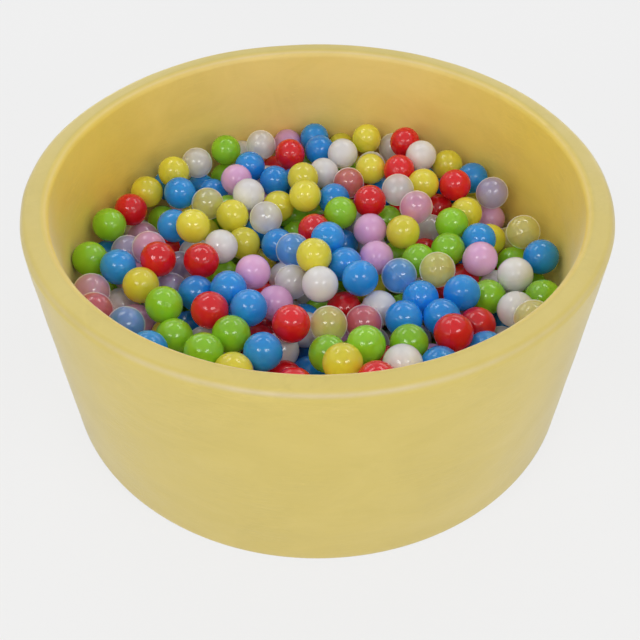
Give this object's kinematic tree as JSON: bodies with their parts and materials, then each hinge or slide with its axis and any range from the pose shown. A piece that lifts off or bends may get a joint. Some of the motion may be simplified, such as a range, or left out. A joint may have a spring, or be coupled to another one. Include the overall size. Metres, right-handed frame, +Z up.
{
  "type": "ball pit",
  "caption": "Round foam ball pit: a tall padded ring in a zipped velvet cover, filled with glossy play balls in several colours.",
  "frame": {"origin": "centre of the underside, on the floor", "axes": "+Z up out of the pit; -Y is the side the picture looks from; the cover's zip runs round the foot of the wall on the +Y side"},
  "size_m": [1.08, 1.08, 0.463],
  "materials": {
    "plush": "soft short-pile velvet, pale golden yellow",
    "foam": "white foam",
    "lining": "short-pile velvet floor",
    "underside": "woven non-slip underside",
    "zip_tape": "woven tape",
    "zip_coil": "nylon coil",
    "zip_metal": "nickel-plated zinc",
    "mixed_balls": "glossy blown plastic in seven colours",
    "blue_ball": "glossy blue blown plastic",
    "red_ball": "glossy red blown plastic",
    "green_ball": "glossy grass green blown plastic",
    "yellow_ball": "glossy lemon yellow blown plastic",
    "white_ball": "glossy warm white blown plastic",
    "pink_ball": "glossy pale pink blown plastic",
    "clear_ball": "clear blown plastic that shows the balls behind it"
  },
  "bodies": {
    "pit": {"ring_foam": "foam", "base_foam": "foam", "wall_cover": "plush", "floor_cover": "lining", "bottom_cover": "underside", "zip_tape_upper": "zip_tape", "zip_tape_lower": "zip_tape", "zip_coil_upper": "zip_coil", "zip_coil_lower": "zip_coil", "zip_stop_first": "zip_metal", "zip_stop_last": "zip_metal", "packed_balls": "mixed_balls"},
    "zip_slider": {"zip_slider": "zip_metal"},
    "zip_pull": {"zip_pull": "zip_metal"},
    "blue_ball_1": {"blue_ball_1": "blue_ball"},
    "blue_ball_2": {"blue_ball_2": "blue_ball"},
    "blue_ball_3": {"blue_ball_3": "blue_ball"},
    "blue_ball_4": {"blue_ball_4": "blue_ball"},
    "blue_ball_5": {"blue_ball_5": "blue_ball"},
    "blue_ball_6": {"blue_ball_6": "blue_ball"},
    "blue_ball_7": {"blue_ball_7": "blue_ball"},
    "blue_ball_8": {"blue_ball_8": "blue_ball"},
    "red_ball_1": {"red_ball_1": "red_ball"},
    "red_ball_2": {"red_ball_2": "red_ball"},
    "red_ball_3": {"red_ball_3": "red_ball"},
    "red_ball_4": {"red_ball_4": "red_ball"},
    "red_ball_5": {"red_ball_5": "red_ball"},
    "red_ball_6": {"red_ball_6": "red_ball"},
    "green_ball_1": {"green_ball_1": "green_ball"},
    "green_ball_2": {"green_ball_2": "green_ball"},
    "green_ball_3": {"green_ball_3": "green_ball"},
    "green_ball_4": {"green_ball_4": "green_ball"},
    "green_ball_5": {"green_ball_5": "green_ball"},
    "green_ball_6": {"green_ball_6": "green_ball"},
    "yellow_ball_1": {"yellow_ball_1": "yellow_ball"},
    "yellow_ball_2": {"yellow_ball_2": "yellow_ball"},
    "yellow_ball_3": {"yellow_ball_3": "yellow_ball"},
    "yellow_ball_4": {"yellow_ball_4": "yellow_ball"},
    "yellow_ball_5": {"yellow_ball_5": "yellow_ball"},
    "yellow_ball_6": {"yellow_ball_6": "yellow_ball"},
    "white_ball_1": {"white_ball_1": "white_ball"},
    "white_ball_2": {"white_ball_2": "white_ball"},
    "white_ball_3": {"white_ball_3": "white_ball"},
    "white_ball_4": {"white_ball_4": "white_ball"},
    "white_ball_5": {"white_ball_5": "white_ball"},
    "pink_ball_1": {"pink_ball_1": "pink_ball"},
    "clear_ball_1": {"clear_ball_1": "clear_ball"},
    "clear_ball_2": {"clear_ball_2": "clear_ball"},
    "clear_ball_3": {"clear_ball_3": "clear_ball"},
    "clear_ball_4": {"clear_ball_4": "clear_ball"},
    "clear_ball_5": {"clear_ball_5": "clear_ball"},
    "clear_ball_6": {"clear_ball_6": "clear_ball"},
    "clear_ball_7": {"clear_ball_7": "clear_ball"},
    "clear_ball_8": {"clear_ball_8": "clear_ball"}
  },
  "joints": [
    {"name": "zip_run", "type": "hinge", "parent": "pit", "child": "zip_slider", "pos_m": [0, 0, 0], "axis": [0, 0, 1], "range_deg": [0, 102]},
    {"name": "pull_swing", "type": "hinge", "parent": "zip_slider", "child": "zip_pull", "pos_m": [0.41885, 0.33918, 0.022], "axis": [0, 0, -1], "range_deg": [0, 150]},
    {"name": "blue_ball_1_lift", "type": "slide", "parent": "pit", "child": "blue_ball_1", "axis": [0, 0, 1], "range_m": [0, 0.25]},
    {"name": "blue_ball_2_lift", "type": "slide", "parent": "pit", "child": "blue_ball_2", "axis": [0, 0, 1], "range_m": [0, 0.25]},
    {"name": "blue_ball_3_lift", "type": "slide", "parent": "pit", "child": "blue_ball_3", "axis": [0, 0, 1], "range_m": [0, 0.25]},
    {"name": "blue_ball_4_lift", "type": "slide", "parent": "pit", "child": "blue_ball_4", "axis": [0, 0, 1], "range_m": [0, 0.25]},
    {"name": "blue_ball_5_lift", "type": "slide", "parent": "pit", "child": "blue_ball_5", "axis": [0, 0, 1], "range_m": [0, 0.25]},
    {"name": "blue_ball_6_lift", "type": "slide", "parent": "pit", "child": "blue_ball_6", "axis": [0, 0, 1], "range_m": [0, 0.25]},
    {"name": "blue_ball_7_lift", "type": "slide", "parent": "pit", "child": "blue_ball_7", "axis": [0, 0, 1], "range_m": [0, 0.25]},
    {"name": "blue_ball_8_lift", "type": "slide", "parent": "pit", "child": "blue_ball_8", "axis": [0, 0, 1], "range_m": [0, 0.25]},
    {"name": "red_ball_1_lift", "type": "slide", "parent": "pit", "child": "red_ball_1", "axis": [0, 0, 1], "range_m": [0, 0.25]},
    {"name": "red_ball_2_lift", "type": "slide", "parent": "pit", "child": "red_ball_2", "axis": [0, 0, 1], "range_m": [0, 0.25]},
    {"name": "red_ball_3_lift", "type": "slide", "parent": "pit", "child": "red_ball_3", "axis": [0, 0, 1], "range_m": [0, 0.25]},
    {"name": "red_ball_4_lift", "type": "slide", "parent": "pit", "child": "red_ball_4", "axis": [0, 0, 1], "range_m": [0, 0.25]},
    {"name": "red_ball_5_lift", "type": "slide", "parent": "pit", "child": "red_ball_5", "axis": [0, 0, 1], "range_m": [0, 0.25]},
    {"name": "red_ball_6_lift", "type": "slide", "parent": "pit", "child": "red_ball_6", "axis": [0, 0, 1], "range_m": [0, 0.25]},
    {"name": "green_ball_1_lift", "type": "slide", "parent": "pit", "child": "green_ball_1", "axis": [0, 0, 1], "range_m": [0, 0.25]},
    {"name": "green_ball_2_lift", "type": "slide", "parent": "pit", "child": "green_ball_2", "axis": [0, 0, 1], "range_m": [0, 0.25]},
    {"name": "green_ball_3_lift", "type": "slide", "parent": "pit", "child": "green_ball_3", "axis": [0, 0, 1], "range_m": [0, 0.25]},
    {"name": "green_ball_4_lift", "type": "slide", "parent": "pit", "child": "green_ball_4", "axis": [0, 0, 1], "range_m": [0, 0.25]},
    {"name": "green_ball_5_lift", "type": "slide", "parent": "pit", "child": "green_ball_5", "axis": [0, 0, 1], "range_m": [0, 0.25]},
    {"name": "green_ball_6_lift", "type": "slide", "parent": "pit", "child": "green_ball_6", "axis": [0, 0, 1], "range_m": [0, 0.25]},
    {"name": "yellow_ball_1_lift", "type": "slide", "parent": "pit", "child": "yellow_ball_1", "axis": [0, 0, 1], "range_m": [0, 0.25]},
    {"name": "yellow_ball_2_lift", "type": "slide", "parent": "pit", "child": "yellow_ball_2", "axis": [0, 0, 1], "range_m": [0, 0.25]},
    {"name": "yellow_ball_3_lift", "type": "slide", "parent": "pit", "child": "yellow_ball_3", "axis": [0, 0, 1], "range_m": [0, 0.25]},
    {"name": "yellow_ball_4_lift", "type": "slide", "parent": "pit", "child": "yellow_ball_4", "axis": [0, 0, 1], "range_m": [0, 0.25]},
    {"name": "yellow_ball_5_lift", "type": "slide", "parent": "pit", "child": "yellow_ball_5", "axis": [0, 0, 1], "range_m": [0, 0.25]},
    {"name": "yellow_ball_6_lift", "type": "slide", "parent": "pit", "child": "yellow_ball_6", "axis": [0, 0, 1], "range_m": [0, 0.25]},
    {"name": "white_ball_1_lift", "type": "slide", "parent": "pit", "child": "white_ball_1", "axis": [0, 0, 1], "range_m": [0, 0.25]},
    {"name": "white_ball_2_lift", "type": "slide", "parent": "pit", "child": "white_ball_2", "axis": [0, 0, 1], "range_m": [0, 0.25]},
    {"name": "white_ball_3_lift", "type": "slide", "parent": "pit", "child": "white_ball_3", "axis": [0, 0, 1], "range_m": [0, 0.25]},
    {"name": "white_ball_4_lift", "type": "slide", "parent": "pit", "child": "white_ball_4", "axis": [0, 0, 1], "range_m": [0, 0.25]},
    {"name": "white_ball_5_lift", "type": "slide", "parent": "pit", "child": "white_ball_5", "axis": [0, 0, 1], "range_m": [0, 0.25]},
    {"name": "pink_ball_1_lift", "type": "slide", "parent": "pit", "child": "pink_ball_1", "axis": [0, 0, 1], "range_m": [0, 0.25]},
    {"name": "clear_ball_1_lift", "type": "slide", "parent": "pit", "child": "clear_ball_1", "axis": [0, 0, 1], "range_m": [0, 0.25]},
    {"name": "clear_ball_2_lift", "type": "slide", "parent": "pit", "child": "clear_ball_2", "axis": [0, 0, 1], "range_m": [0, 0.25]},
    {"name": "clear_ball_3_lift", "type": "slide", "parent": "pit", "child": "clear_ball_3", "axis": [0, 0, 1], "range_m": [0, 0.25]},
    {"name": "clear_ball_4_lift", "type": "slide", "parent": "pit", "child": "clear_ball_4", "axis": [0, 0, 1], "range_m": [0, 0.25]},
    {"name": "clear_ball_5_lift", "type": "slide", "parent": "pit", "child": "clear_ball_5", "axis": [0, 0, 1], "range_m": [0, 0.25]},
    {"name": "clear_ball_6_lift", "type": "slide", "parent": "pit", "child": "clear_ball_6", "axis": [0, 0, 1], "range_m": [0, 0.25]},
    {"name": "clear_ball_7_lift", "type": "slide", "parent": "pit", "child": "clear_ball_7", "axis": [0, 0, 1], "range_m": [0, 0.25]},
    {"name": "clear_ball_8_lift", "type": "slide", "parent": "pit", "child": "clear_ball_8", "axis": [0, 0, 1], "range_m": [0, 0.25]}
  ]
}
